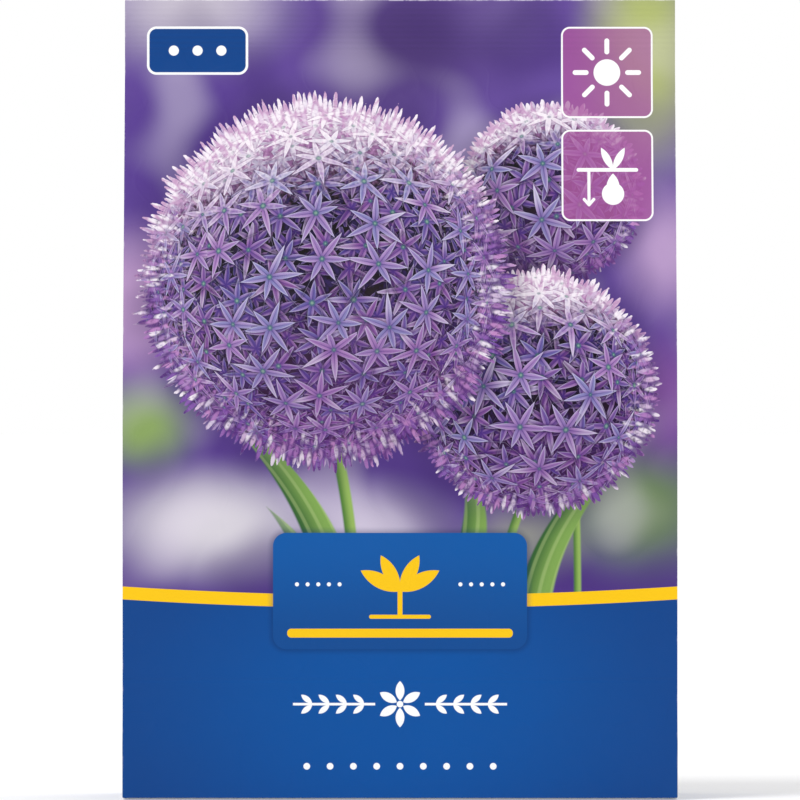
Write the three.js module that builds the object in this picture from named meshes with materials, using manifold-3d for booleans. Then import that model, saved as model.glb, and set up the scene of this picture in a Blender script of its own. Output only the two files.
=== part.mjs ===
// A paper packet with one large flower bulb in it. The packet is a single printed sheet, lapped and
// glued down its back, pleated at both sides, folded into a flat block bottom and pressed shut in a
// flat band across its top. Small round vents in its sides and back let the bulb breathe.
// Millimetres, +Z up, the printed front faces -Y, and the origin is the middle of the base.

import * as THREE from "three";
import { mergeVertices } from "three/addons/utils/BufferGeometryUtils.js";
import Module from "manifold-3d";

const wasm = await Module();
wasm.setup();

// ---- Packet ----
const WIDTH = 125; // front panel, from edge to edge
const HEIGHT = 181;
const DEPTH = 54; // base, from front to back
const PAPER = 0.6; // wall, thicker than a real sheet so that it holds together as a solid
const BASE_THICKNESS = 1.2; // the base is several layers of folded sheet
const BASE_FLAP = { lift: 0.4, inset: 1.5, depth: 34 }; // glued flap that the packet stands on
const SHOULDER = { height: 88, rounding: 16 }; // where front and back start to lean together
const SEAL = { height: 12, thickness: 1.6, rounding: 3 }; // flat band across the top
const PANEL_BULGE = 2.5; // how far the middle of the front and back stands out
const PLEAT_SLACK = 0.2; // how much longer half a side panel is than half the depth
const PLEAT_FADE = { base: 34, seal: 8 }; // height over which a pleat starts and closes
const CAVITY_TOP = 155;
const LAP = { middle: 36, width: 14, height: 0.5, sunk: 0.3 }; // glued seam down the back
const VENT_RADIUS = 3.5;
const SIDE_VENTS = { y: [-13.5, 13.5], z: [32, 52, 72] };
const BACK_VENTS = { x: [-24, 0, 24], z: 118 };

// ---- Bulb ----
const BULB_GAP = 0.3; // clearance under the lowest roots
const BULB_OUTLINE = [
  [0, 1.6], [8.5, 1.2], [10.8, 2.2], [12.6, 4.6], [18.6, 8.6], [23.6, 15], [24.9, 22],
  [23.2, 29], [18.4, 35], [12.2, 39], [7.2, 42], [4.6, 45.6], [3.7, 49.4], [0, 50.4],
]; // radius and height, from the root plate up to the dry neck
const BULB_STEPS = 26;
const BULB_SIDES = 36;
const BULB_RIPPLE = [ // lobes around, depth as a share of the radius, and turn
  { lobes: 2, depth: 0.012, turn: 0.4 },
  { lobes: 5, depth: 0.008, turn: 1.9 },
  { lobes: 13, depth: 0.004, turn: 0.0 },
];
const ROOT = { count: 14, length: 4.2, top: 0.9, tip: 0.45, ring: 9.6, height: 2.4, splay: 1.15 };

// ---- Colours ----
const FRONT_BLUE = 0x0b559f;
const BULB_BROWN = 0xb98a56;

const HALF_WIDTH = WIDTH / 2;
const HALF_SIDE = DEPTH / 2 + PLEAT_SLACK;
const SEAL_FOOT = HEIGHT - SEAL.height - SEAL.rounding;
const BASE_LEVEL = BASE_FLAP.lift;
const BASE_TOP = BASE_LEVEL + BASE_THICKNESS;

// ---- Solids ----

// Closed solid through a stack of outlines that run anticlockwise seen from above and have equal
// numbers of points. Each end is fanned shut round its own middle.
function loft(outlines) {
  const around = outlines[0].length;
  const points = outlines.flat();
  const foot = points.push(new THREE.Vector3(0, 0, outlines[0][0].z)) - 1;
  const top = points.push(new THREE.Vector3(0, 0, outlines.at(-1)[0].z)) - 1;
  const last = (outlines.length - 1) * around;
  const index = [];
  for (let i = 0; i < around; i += 1) {
    const next = (i + 1) % around;
    for (let start = 0; start < last; start += around) {
      index.push(start + i, start + next, start + around + next);
      index.push(start + i, start + around + next, start + around + i);
    }
    index.push(foot, next, i);
    index.push(top, last + i, last + next);
  }
  return new THREE.BufferGeometry().setFromPoints(points).setIndex(index);
}

function toSolid(geometry) {
  const bare = geometry.clone();
  bare.deleteAttribute("normal");
  bare.deleteAttribute("uv");
  const merged = mergeVertices(bare, 1e-4);
  return new wasm.Manifold(new wasm.Mesh({
    numProp: 3,
    vertProperties: new Float32Array(merged.attributes.position.array),
    triVerts: new Uint32Array(merged.index.array),
  }));
}

function toGeometry(solid) {
  const { vertProperties, triVerts } = solid.getMesh();
  const geometry = new THREE.BufferGeometry();
  geometry.setAttribute("position", new THREE.BufferAttribute(vertProperties, 3));
  geometry.setIndex(new THREE.BufferAttribute(triVerts, 1));
  geometry.computeVertexNormals();
  return geometry;
}

function levels(low, high, steps) {
  return Array.from({ length: steps }, (_, i) => THREE.MathUtils.lerp(low, high, i / steps));
}

// ---- The packet's form ----

// Nought below the bend, equal to the distance above it, and a parabola where the bend is rounded.
function bend(distance, rounding) {
  if (distance <= -rounding) return 0;
  if (distance >= rounding) return distance;
  return (distance + rounding) ** 2 / (4 * rounding);
}

// Half the distance between the front and back panels' edges: upright, then leaning in, then sealed.
function halfDepth(z) {
  const lean = (DEPTH - SEAL.thickness) / 2 / (SEAL_FOOT - SHOULDER.height);
  const leant = bend(z - SHOULDER.height, SHOULDER.rounding) - bend(z - SEAL_FOOT, SEAL.rounding);
  return DEPTH / 2 - lean * leant;
}

// How far a side panel's middle crease lies in from the packet's edge. Half the side panel is as
// long as ever, so it folds in by what its own length leaves as the front and back close.
function pleat(z) {
  const { smoothstep } = THREE.MathUtils;
  const starts = smoothstep(z, BASE_LEVEL, PLEAT_FADE.base);
  const closes = 1 - smoothstep(z, SEAL_FOOT - PLEAT_FADE.seal, SEAL_FOOT);
  return Math.sqrt(HALF_SIDE ** 2 - halfDepth(z) ** 2) * starts * closes;
}

function bulge(x, z) {
  const up = Math.sin(Math.PI * Math.min(z / SEAL_FOOT, 1)) ** 2;
  return PANEL_BULGE * up * (1 - (x / HALF_WIDTH) ** 2);
}

// The front panel and the right side panel, folded in at its crease, then the same again turned
// half round for the back panel and the left side.
function outline(z, corner, crease) {
  const half = [];
  const PANEL_STEPS = 12;
  const SIDE_STEPS = 3;
  for (let i = 0; i <= PANEL_STEPS; i += 1) {
    const x = THREE.MathUtils.lerp(-corner.x, corner.x, i / PANEL_STEPS);
    half.push(new THREE.Vector3(x, -corner.y - bulge(x, z), z));
  }
  const edge = half.at(-1).clone();
  const fold = new THREE.Vector3(crease, 0, z);
  const backEdge = new THREE.Vector3(edge.x, -edge.y, z);
  for (let i = 1; i <= SIDE_STEPS; i += 1) half.push(edge.clone().lerp(fold, i / SIDE_STEPS));
  for (let i = 1; i < SIDE_STEPS; i += 1) half.push(fold.clone().lerp(backEdge, i / SIDE_STEPS));
  return [...half, ...half.map((p) => new THREE.Vector3(-p.x, -p.y, z))];
}

function outerOutline(z) {
  return outline(z, { x: HALF_WIDTH, y: halfDepth(z) }, HALF_WIDTH - pleat(z));
}

// One wall's thickness inside the outer outline: the front moves in by the wall, each half of a
// side panel moves in at right angles to itself, and the corner is where the two lines meet.
function innerOutline(z) {
  const y = halfDepth(z);
  const inward = pleat(z);
  const side = Math.hypot(inward, y);
  const corner = { x: HALF_WIDTH - (PAPER * (side + inward)) / y, y: y - PAPER };
  return outline(z, corner, HALF_WIDTH - inward - (PAPER * side) / y);
}

function makeShell() {
  const outer = [
    ...levels(BASE_LEVEL, SHOULDER.height - SHOULDER.rounding, 8),
    ...levels(SHOULDER.height - SHOULDER.rounding, SHOULDER.height + SHOULDER.rounding, 8),
    ...levels(SHOULDER.height + SHOULDER.rounding, SEAL_FOOT - PLEAT_FADE.seal, 7),
    ...levels(SEAL_FOOT - PLEAT_FADE.seal, SEAL_FOOT + SEAL.rounding, 5),
    SEAL_FOOT + SEAL.rounding, HEIGHT,
  ];
  const inner = [
    ...levels(BASE_TOP, SHOULDER.height - SHOULDER.rounding, 8),
    ...levels(SHOULDER.height - SHOULDER.rounding, SHOULDER.height + SHOULDER.rounding, 8),
    ...levels(SHOULDER.height + SHOULDER.rounding, CAVITY_TOP, 7),
    CAVITY_TOP,
  ];
  const shell = toSolid(loft(outer.map(outerOutline)));
  return shell.subtract(toSolid(loft(inner.map(innerOutline))));
}

// The seam is a narrow strip that follows the back panel from the base to the top edge.
function makeLap() {
  const left = LAP.middle - LAP.width / 2;
  const right = LAP.middle + LAP.width / 2;
  const heights = [
    ...levels(BASE_LEVEL, SHOULDER.height - SHOULDER.rounding, 6),
    ...levels(SHOULDER.height - SHOULDER.rounding, SHOULDER.height + SHOULDER.rounding, 8),
    ...levels(SHOULDER.height + SHOULDER.rounding, SEAL_FOOT - SEAL.rounding, 6),
    ...levels(SEAL_FOOT - SEAL.rounding, SEAL_FOOT + SEAL.rounding, 4),
    SEAL_FOOT + SEAL.rounding, HEIGHT,
  ];
  return toSolid(loft(heights.map((z) => {
    const back = (x, out) => new THREE.Vector3(x, halfDepth(z) + bulge(x, z) + out, z);
    return [back(left, -LAP.sunk), back(right, -LAP.sunk), back(right, LAP.height), back(left, LAP.height)];
  })));
}

function makeBaseFlap() {
  const { lift, inset, depth } = BASE_FLAP;
  const height = lift + BASE_THICKNESS / 2;
  const flap = new THREE.BoxGeometry(WIDTH - 2 * inset, depth, height);
  return toSolid(flap.translate(0, 0, height / 2));
}

// Round punches that go through both side panels at once, or through the back panel alone.
function makeVentPunches() {
  const sides = SIDE_VENTS.y.flatMap((y) => SIDE_VENTS.z.map((z) => {
    const punch = new THREE.CylinderGeometry(VENT_RADIUS, VENT_RADIUS, WIDTH + 10, 16);
    return punch.rotateZ(Math.PI / 2).translate(0, y, z);
  }));
  const back = BACK_VENTS.x.map((x) => {
    const punch = new THREE.CylinderGeometry(VENT_RADIUS, VENT_RADIUS, DEPTH, 16);
    return punch.translate(x, DEPTH / 2 + 2, BACK_VENTS.z);
  });
  return [...sides, ...back].map(toSolid);
}

function makePacket() {
  const folded = makeShell().add(makeLap()).add(makeBaseFlap());
  const vented = makeVentPunches().reduce((solid, punch) => solid.subtract(punch), folded);
  const material = new THREE.MeshStandardMaterial({ color: FRONT_BLUE, roughness: 0.5, metalness: 0 });
  const mesh = new THREE.Mesh(toGeometry(vented), material);
  mesh.name = "packet";
  return mesh;
}

// ---- The bulb's form ----

// A turned outline whose radius swells and sinks a little around, as dry scales make it do.
function makeBulbBody() {
  const curve = new THREE.SplineCurve(BULB_OUTLINE.map(([r, z]) => new THREE.Vector2(r, z)));
  const profile = curve.getPoints(BULB_STEPS);
  profile[0].x = 0;
  profile[BULB_STEPS].x = 0;
  const body = new THREE.LatheGeometry(profile, BULB_SIDES).rotateX(Math.PI / 2);
  const place = body.attributes.position;
  for (let i = 0; i < place.count; i += 1) {
    const angle = Math.atan2(place.getY(i), place.getX(i));
    const swell = BULB_RIPPLE.reduce((sum, r) => sum + r.depth * Math.cos(r.lobes * angle + r.turn), 1);
    place.setXY(i, place.getX(i) * swell, place.getY(i) * swell);
  }
  return toSolid(body);
}

// Short dry stubs of last year's roots, splayed out round the edge of the root plate.
function makeRoots() {
  return Array.from({ length: ROOT.count }, (_, i) => {
    const root = new THREE.CylinderGeometry(ROOT.top, ROOT.tip, ROOT.length, 6);
    root.translate(0, -ROOT.length / 2, 0).rotateX(Math.PI / 2).rotateY(-ROOT.splay);
    root.translate(ROOT.ring, 0, ROOT.height).rotateZ((2 * Math.PI * i) / ROOT.count);
    return toSolid(root);
  });
}

function makeBulb() {
  const grown = makeRoots().reduce((solid, root) => solid.add(root), makeBulbBody());
  const geometry = toGeometry(grown);
  geometry.computeBoundingBox();
  const material = new THREE.MeshStandardMaterial({ color: BULB_BROWN, roughness: 0.8, metalness: 0 });
  const mesh = new THREE.Mesh(geometry, material);
  mesh.name = "bulb";
  mesh.position.z = BASE_TOP + BULB_GAP - geometry.boundingBox.min.z;
  return mesh;
}

const group = new THREE.Group();
group.name = "flower_bulb_packet";
group.add(makePacket(), makeBulb());

export default group;
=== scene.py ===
"""Looks for a sealed paper packet with a flower bulb in it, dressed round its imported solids.

The packet is one folded and glued sheet. Its front faces -Y and it stands on its folded base. The
sections follow the packet as it is put together: the sheet and its folds, the seam and the base
flaps that are glued over it, the printing on it, the bulb inside, and then the studio.
"""

import bpy
import numpy as np
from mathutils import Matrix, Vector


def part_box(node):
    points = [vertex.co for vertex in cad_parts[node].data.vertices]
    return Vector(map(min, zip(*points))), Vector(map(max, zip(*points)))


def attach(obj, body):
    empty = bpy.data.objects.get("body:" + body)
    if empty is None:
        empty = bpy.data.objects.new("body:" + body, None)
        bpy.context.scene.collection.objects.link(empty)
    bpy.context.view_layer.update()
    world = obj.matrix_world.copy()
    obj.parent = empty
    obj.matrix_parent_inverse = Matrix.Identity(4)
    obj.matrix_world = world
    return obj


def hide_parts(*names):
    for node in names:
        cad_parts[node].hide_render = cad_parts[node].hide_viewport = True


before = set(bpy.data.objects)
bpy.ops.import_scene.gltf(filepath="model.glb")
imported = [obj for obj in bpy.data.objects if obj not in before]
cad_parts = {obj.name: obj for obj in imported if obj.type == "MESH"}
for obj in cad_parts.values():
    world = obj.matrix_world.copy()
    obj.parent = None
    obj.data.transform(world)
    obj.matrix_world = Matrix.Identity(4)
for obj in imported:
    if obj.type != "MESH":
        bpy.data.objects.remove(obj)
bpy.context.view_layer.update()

# ---- The sheet and its folds ------------------------------------------------
# One sheet of coated paper makes the front, both pleated sides and the back. It is folded at four
# upright edges, pleated in at the middle of each side, and pressed flat in a band across its top.
# All lengths in this section are millimetres, and the mesh is scaled to metres when it is made.

MM = 0.001
packet_low, packet_high = (np.array(corner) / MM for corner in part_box("packet"))
WIDTH = packet_high[0] - packet_low[0]
HEIGHT = packet_high[2]
DEPTH = 54.0  # base, front to back
GIRTH = 2 * (WIDTH + DEPTH)
SHEET = 0.3  # wall of the folded sheet
BASE_LIFT = 0.5  # the glued base flaps lie under the sheet's own base
BASE_CREASE = DEPTH / 2  # the base was folded flat at this height before it was opened
SHOULDER, SHOULDER_ROUND = 88.0, 16.0  # where front and back start to lean together
SEAL_FOOT, SEAL_ROUND = HEIGHT - 15.0, 3.0  # foot of the sealed band
SEAL_THICK = 1.0
RIB_PITCH, RIB_HEIGHT = 1.25, 0.05  # of the sealing jaws' marks
FINE_FROM = SEAL_FOOT - 8.0  # from here up the mesh is fine enough for those ribs
PANEL_BULGE = 2.5  # how far the middle of the front and back stands out
SIDE_BOW = 0.9  # each half of a side curves out a little
BOW_TOP, BOW_FADE, BOW_FOOT = SHOULDER + 30.0, 60.0, 25  # it runs out at the top and at the base
DENTS = ((0.45, 31, 3), (0.22, 13, 5))  # depth, breadth and seed of the broad waves and small ones
RIDGE_HEIGHT, RIDGE_REACH, RIDGE_SEED = 0.06, 19, 9
SHOULDER_DENTS, SHOULDER_SPREAD = 0.7, 22.0  # the paper is more crumpled just above the shoulder
FOLD_FADE, SEAL_FADE = 9, 14  # the dents reach their full depth this far from a fold and the band
SIDE_DENTS, PLEAT_FADE = 0.8, 20  # a side's dents are shallower, and fade where the packet thins
PLEAT_SLACK = 0.2  # how much longer half a side is than half the depth
PLEAT_OPENS, PLEAT_CLOSES = 34.0, 8.0  # heights over which a pleat starts and runs out
CAVITY_FOOT, CAVITY_TOP = BASE_LIFT + 0.8, 158.0
FRONT_STEP, SIDE_STEP, UP_STEP, FINE_UP_STEP = 1.25, 1.3, 1.2, 0.31  # of the outer skin's mesh
INNER_STEP, INNER_ROWS = 2.5, 64  # of the inner skin's
VENT_RADIUS, VENT_SIDES = 3.5, 28
SIDE_VENTS = [(y, z) for y in (-13.5, 13.5) for z in (32.0, 52.0, 72.0)]
BACK_VENTS = [(x, 118.0) for x in (-24.0, 0.0, 24.0)]
BACK_RODS_FROM = 2.0  # the rods that punch the back start just behind the packet's middle
PRINTED, CUT, INSIDE = 0, 1, 2  # the sheet's three finishes: printed side, cut edge and bare side
BASE_PRINT_DROP = 60.0  # the base shows the sheet from below the front's foot, where no sign is

# The OFBake map gives the front the most room on its texture. All are shares of the texture's width and
# height.
PANELS = np.array([
    # the panel's first fold, its left and foot on the texture, and what a millimetre takes there
    (-WIDTH / 2, 0.005, 0.005, 0.0046, 0.0046),
    (WIDTH / 2, 0.59, 0.59, 0.0036, 0.0022),
    (WIDTH / 2 + DEPTH, 0.59, 0.005, 0.0032, 0.0032),
    (1.5 * WIDTH + DEPTH, 0.795, 0.59, 0.0036, 0.0022),
])
INNER_SCALE = np.array([0.45 / GIRTH, 0.14 / CAVITY_TOP])
INNER_CORNER = np.array([0.01, 0.85]) + [WIDTH / 2 * INNER_SCALE[0], 0]
CAP_CORNER, CAP_SPAN = np.array([0.525, 0.87]), np.array([1200.0, 1500.0])
CAP_STEPS = ((0.0, 0.03), (0.06, 0.09))  # foot and top of the outer skin, then of the inner one


def smooth(t):
    """Smoothstep of t, held to 0 and 1 outside that range."""
    t = np.clip(t, 0, 1)
    return t * t * (3 - 2 * t)


def bend(distance, rounding):
    """Nought before a bend, the distance past it after, and a parabola where it is rounded."""
    rounded = (distance + rounding) ** 2 / (4 * rounding)
    return np.where(distance < -rounding, 0, np.where(distance > rounding, distance, rounded))


def half_depth(z):
    """Half the gap between front and back edges: upright, then a straight lean in, then sealed."""
    lean = (DEPTH - SEAL_THICK) / 2 / (SEAL_FOOT - SHOULDER)
    return DEPTH / 2 - lean * (bend(z - SHOULDER, SHOULDER_ROUND) - bend(z - SEAL_FOOT, SEAL_ROUND))


def pleat(z):
    """How far a side's crease lies in from the edge, which is what half a side's own length leaves."""
    inward = np.sqrt((DEPTH / 2 + PLEAT_SLACK) ** 2 - half_depth(z) ** 2)
    closing = smooth((z - SEAL_FOOT + PLEAT_CLOSES) / PLEAT_CLOSES)
    return inward * smooth(z / PLEAT_OPENS) * (1 - closing)


def soft_noise(a, b, cell, seed):
    """Smooth noise from -1 to 1: random values on a square lattice, eased between its corners."""
    lattice = np.random.default_rng(seed).uniform(-1, 1, (64, 64))
    column, across = np.divmod(np.asarray(a) / cell + 32, 1)
    row, up = np.divmod(np.asarray(b) / cell + 8, 1)
    i, j = column.astype(int) % 63, row.astype(int) % 63
    across, up = smooth(across), smooth(up)
    low = lattice[i, j] * (1 - across) + lattice[i + 1, j] * across
    high = lattice[i, j + 1] * (1 - across) + lattice[i + 1, j + 1] * across
    return low * (1 - up) + high * up


def dents(u, z, to_fold, ridges=True):
    """How far handling has pushed the paper in or out, in mm, fading out at the folds: broad
    waves, smaller ones, and sharp little ridges where smooth noise changes sign."""
    push = sum(deep * soft_noise(u, z, broad, seed) for deep, broad, seed in DENTS)
    if ridges:
        crossing = np.abs(soft_noise(u + 0.5 * z, z - 0.3 * u, RIDGE_REACH, RIDGE_SEED))
        push = push + RIDGE_HEIGHT * smooth(1 - crossing * 4)
    near_shoulder = 1 + SHOULDER_DENTS * np.exp(-(((z - SHOULDER - 8) / SHOULDER_SPREAD) ** 2))
    return push * near_shoulder * smooth(to_fold / FOLD_FADE) * smooth((SEAL_FOOT - z) / SEAL_FADE)


def seal_ribs(z):
    """Fine level ribs that the sealing jaws press into the band across the top."""
    inside = smooth((z - SEAL_FOOT - 2.5) / 1.0) * smooth((HEIGHT - 0.8 - z) / 0.8)
    return RIB_HEIGHT * np.sin(2 * np.pi * z / RIB_PITCH) * inside


def spaced(length, step, close=(0.0, 0.3, 0.8, 1.6)):
    """Places along a panel: even steps, and closer ones next to the folds at both ends."""
    close = np.array(close)
    steps = round((length - 2 * close[-1]) / step)
    middle = np.linspace(close[-1], length - close[-1], steps + 1)
    return np.concatenate([close[:-1], middle, length - close[-2::-1]])


def half_girth(z, across, down, wall):
    """The front and the right side at heights z, as x, y and place along the sheet. across are
    places along the front, and down are places along half a side panel, mirrored at its crease.
    wall moves it all inwards, with the corner where the moved front and side lines meet."""
    z = z[:, None]
    y, inward = half_depth(z), pleat(z)
    side = np.hypot(inward, y)
    corner_x = WIDTH / 2 - wall * (side + inward) / y
    crease_x = WIDTH / 2 - inward - wall * side / y
    u = across - WIDTH / 2
    x = u / (WIDTH / 2) * corner_x
    up = np.sin(np.pi * np.clip(z / SEAL_FOOT, 0, 1)) ** 2
    out = PANEL_BULGE * up * (1 - (x / (WIDTH / 2)) ** 2)
    out = out + dents(u, z, np.minimum(across, WIDTH - across) + 0 * z, wall == 0)
    out = out + seal_ribs(z) * (wall == 0)
    front = x, -(y - wall) - out, u + 0 * z
    part = down[1:] / down[-1]
    to_fold = np.minimum(down[1:], down[-1] - down[1:]) + 0 * z
    bow = SIDE_BOW * np.sin(np.pi * part) * smooth((BOW_TOP - z) / BOW_FADE) * smooth(z / BOW_FOOT)
    bow = bow + SIDE_DENTS * dents(u[-1] + down[1:], z, to_fold, wall == 0) * smooth(y / PLEAT_FADE)
    side_x = corner_x + (crease_x - corner_x) * part + bow * y / side
    side_y = -(y - wall) * (1 - part) + bow * inward / side
    side_u = WIDTH / 2 + down[1:] + 0 * z
    mirrored = slice(-2, 0, -1)
    rear_u = WIDTH + DEPTH - side_u[:, mirrored]
    return (np.concatenate([front[0], side_x, side_x[:, mirrored], corner_x], axis=1),
            np.concatenate([front[1], side_y, -side_y[:, mirrored], y - wall], axis=1),
            np.concatenate([front[2], side_u, rear_u, WIDTH / 2 + DEPTH + 0 * z], axis=1))


def ring_walls(rows, around, first=0):
    """Rings of points one above the other: their numbers as a grid, and the faces between them."""
    index = first + np.arange(rows * around).reshape(rows, around)
    following = np.roll(index, -1, axis=1)
    walls = np.stack([index[:-1], following[:-1], following[1:], index[1:]], axis=-1)
    return index, walls.reshape(-1, 4)


def outer_on_texture(places):
    """Where corners of the outer skin lie on the OFBake map's texture, each panel by itself."""
    middle = places.reshape(-1, 4, 2).mean(axis=1)[:, 0]
    panel = (middle[:, None] > PANELS[1:, 0]).sum(axis=1).repeat(4)
    first, left, foot, across, up = PANELS[panel].T
    return np.stack([left + (places[:, 0] - first) * across, foot + places[:, 1] * up], axis=-1)


def skin(z, across, down, wall):
    """One closed skin: the half girth and the same again turned half round, carried up through
    all heights and capped at both ends. Returns its points, walls and caps, and each face
    corner's place on the print and on the OFBake map's texture."""
    x, y, u = half_girth(z, across, down, wall)
    ring_x = np.concatenate([x[:, :-1], -x[:, :-1]], axis=1)
    ring_y = np.concatenate([y[:, :-1], -y[:, :-1]], axis=1)
    heights = np.broadcast_to(z[:, None], ring_x.shape)
    points = np.stack([ring_x, ring_y, heights], axis=-1).reshape(-1, 3)
    index, walls = ring_walls(*ring_x.shape)
    start = np.concatenate([u[:, :-1], u[:, :-1] + GIRTH / 2], axis=1)
    stop = np.concatenate([u[:, 1:], u[:, 1:] + GIRTH / 2], axis=1)
    corners = ((start[:-1], heights[:-1]), (stop[:-1], heights[:-1]),
               (stop[1:], heights[1:]), (start[1:], heights[1:]))
    wall_uv = np.stack([np.stack(corner, axis=-1) for corner in corners], axis=2).reshape(-1, 2)
    caps = [index[0][::-1], index[-1]]
    cap_places = [points[cap][:, :2] for cap in caps]
    cap_uv = np.concatenate(cap_places) - [0, BASE_PRINT_DROP]
    caps_on_texture = [CAP_CORNER + [0, step] + place / CAP_SPAN
                       for place, step in zip(cap_places, CAP_STEPS[wall > 0])]
    walls_on_texture = outer_on_texture(wall_uv) if wall == 0 else INNER_CORNER + wall_uv * INNER_SCALE
    return (points, walls, caps, np.concatenate([wall_uv, cap_uv]),
            np.concatenate([walls_on_texture, *caps_on_texture]))


def make_mesh(name, points, faces, print_uv=None, face_material=None, texture_uv=None):
    """A mesh object in metres from points in mm, with the print's own UV map in mm, and one named
    OFBake that lays the piece out on a texture."""
    mesh = bpy.data.meshes.new(name)
    mesh.from_pydata(points * MM, [], [list(map(int, face)) for face in faces])
    for uv_map, places in (("print", print_uv), ("OFBake", texture_uv)):
        if places is not None:
            places = places.ravel().astype(np.float32)
            mesh.uv_layers.new(name=uv_map).data.foreach_set("uv", places)
    if face_material is not None:
        mesh.polygons.foreach_set("material_index", np.asarray(face_material, np.int32))
    mesh.polygons.foreach_set("use_smooth", np.ones(len(mesh.polygons), bool))
    mesh.update()
    piece = bpy.data.objects.new(name, mesh)
    bpy.context.scene.collection.objects.link(piece)
    return piece


def crisp_folds(piece, degrees=24):
    """Marks every edge that turns by more than a few degrees as a sharp fold."""
    bpy.context.view_layer.objects.active = piece
    piece.select_set(True)
    bpy.ops.object.shade_smooth_by_angle(angle=np.radians(degrees))
    piece.select_set(False)


def punch(piece, tools):
    """Cuts one object out of another for good, then deletes the cutting object."""
    cut = piece.modifiers.new("punch", "BOOLEAN")
    cut.operation, cut.solver, cut.object = "DIFFERENCE", "EXACT", tools
    graph = bpy.context.evaluated_depsgraph_get()
    mesh = bpy.data.meshes.new_from_object(piece.evaluated_get(graph))
    piece.modifiers.clear()
    old, piece.data = piece.data, mesh
    mesh.name = piece.name
    bpy.data.meshes.remove(old)
    bpy.data.objects.remove(tools)


def vent_punches():
    """Round rods through the sides, and others through the back only, in one mesh."""
    turn = 2 * np.pi * np.arange(VENT_SIDES) / VENT_SIDES
    points, faces = [], []
    rods = [("side", y, z, -WIDTH, WIDTH) for y, z in SIDE_VENTS]
    rods += [("back", x, z, BACK_RODS_FROM, DEPTH) for x, z in BACK_VENTS]
    for which, middle, z, low, high in rods:
        index, walls = ring_walls(2, VENT_SIDES, first=VENT_SIDES * len(points))
        flat, up = middle + VENT_RADIUS * np.cos(turn), z + VENT_RADIUS * np.sin(turn)
        for end in (low, high):
            along = np.full(VENT_SIDES, end)
            order = (along, flat, up) if which == "side" else (-flat, along, up)
            points.append(np.stack(order, axis=1))
        faces += [index[0][::-1], index[1], *walls]
    return make_mesh("vent_punches", np.concatenate(points), faces, face_material=[CUT] * len(faces))


def make_sheet():
    """The outer skin with its fine dents, and the plain inner skin of the hollow turned to face in."""
    z = np.concatenate([[BASE_LIFT, BASE_LIFT + 0.3, BASE_LIFT + 0.8],
                        np.arange(2.0, FINE_FROM, UP_STEP),
                        np.arange(FINE_FROM, HEIGHT - 0.15, FINE_UP_STEP), [HEIGHT]])
    outer = skin(z, spaced(WIDTH, FRONT_STEP), spaced(DEPTH / 2, SIDE_STEP), 0)
    z = np.linspace(CAVITY_FOOT, CAVITY_TOP, INNER_ROWS)
    inner = skin(z, spaced(WIDTH, INNER_STEP), spaced(DEPTH / 2, INNER_STEP), SHEET)
    outer_faces = [*outer[1], *outer[2]]
    inner_faces = [len(outer[0]) + face[::-1] for face in (*inner[1], *inner[2])]
    kind = [PRINTED] * (len(outer_faces) - 1) + [CUT] + [INSIDE] * len(inner_faces)
    points = np.concatenate([outer[0], inner[0]])
    places = np.concatenate([outer[3], 0 * inner[3]])
    on_texture = np.concatenate([outer[4], inner[4]])
    return make_mesh("packet_sheet", points, outer_faces + inner_faces, places, kind, on_texture)


sheet = make_sheet()
punch(sheet, vent_punches())
crisp_folds(sheet)
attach(sheet, "root")
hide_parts("packet")

# ---- The glued seam and the base flaps --------------------------------------
# The sheet's two ends overlap in a strip down the back, to one side of the middle. Under the
# base, two side tucks fold in to a point and one long flap is glued over them.

SEAM_MIDDLE, SEAM_WIDTH = 36.0, 14.0
SEAM_EDGE = SEAM_MIDDLE - SEAM_WIDTH / 2  # the outer end's cut edge
SEAM_STEP, SEAM_RISE = 0.26, 3.5  # how far the outer end stands out, and over what it gets there
SEAM_CLEAR, SEAM_SUNK = 0.06, 0.1  # off the back at the soft side, and into it underneath
SEAM_COLUMNS, SEAM_FINE_STEP = 12, 0.4
PUCKER, PUCKER_REACH = 0.12, 2.5  # where the glue has drawn the cut edge up and down
PUCKER_CELL, PUCKER_SEED = 9, 17
FLAP_DEPTH, FLAP_INSET = 34.0, 1.5
FLAP_CORNER_CUT = 3.0
FLAP_FOOT, FLAP_TOP, FLAP_GRID = 0.05, 0.3, (60, 18)
FLAP_WAVE, FLAP_CELL, FLAP_SEED = 0.05, 11, 21  # its paper isn't quite flat
TUCK_INSET, TUCK_POINT = 0.6, 0.04  # from the corners, and how blunt the point is
TUCK_FOOT, TUCK_SETBACK, TUCK_SHORT, TUCK_GRID = 0.27, 0.2, 1.5, (16, 24)


def slab(name, outer, inner, uv):
    """A closed thin body between two grids of points, the outer one facing out, walled round."""
    rows, columns = outer.shape[:2]
    index = np.arange(rows * columns).reshape(rows, columns)

    def cells(grid):
        return np.stack([grid[:-1, :-1], grid[:-1, 1:], grid[1:, 1:], grid[1:, :-1]], -1).reshape(-1, 4)

    rim = np.concatenate([index[0, :-1], index[:-1, -1], index[-1, :0:-1], index[:0:-1, 0]])
    under = rim + rows * columns
    edge = np.stack([rim, under, np.roll(under, -1), np.roll(rim, -1)], -1)
    faces = np.concatenate([cells(index), cells(index + rows * columns)[:, ::-1], edge])
    points = np.concatenate([outer.reshape(-1, 3), inner.reshape(-1, 3)])
    print_places = np.concatenate([uv.reshape(-1, 2)] * 2)
    kind = np.where(np.arange(len(faces)) < len(faces) - len(edge), PRINTED, CUT)
    return make_mesh(name, points, faces, print_places[faces.ravel()], kind)


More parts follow.
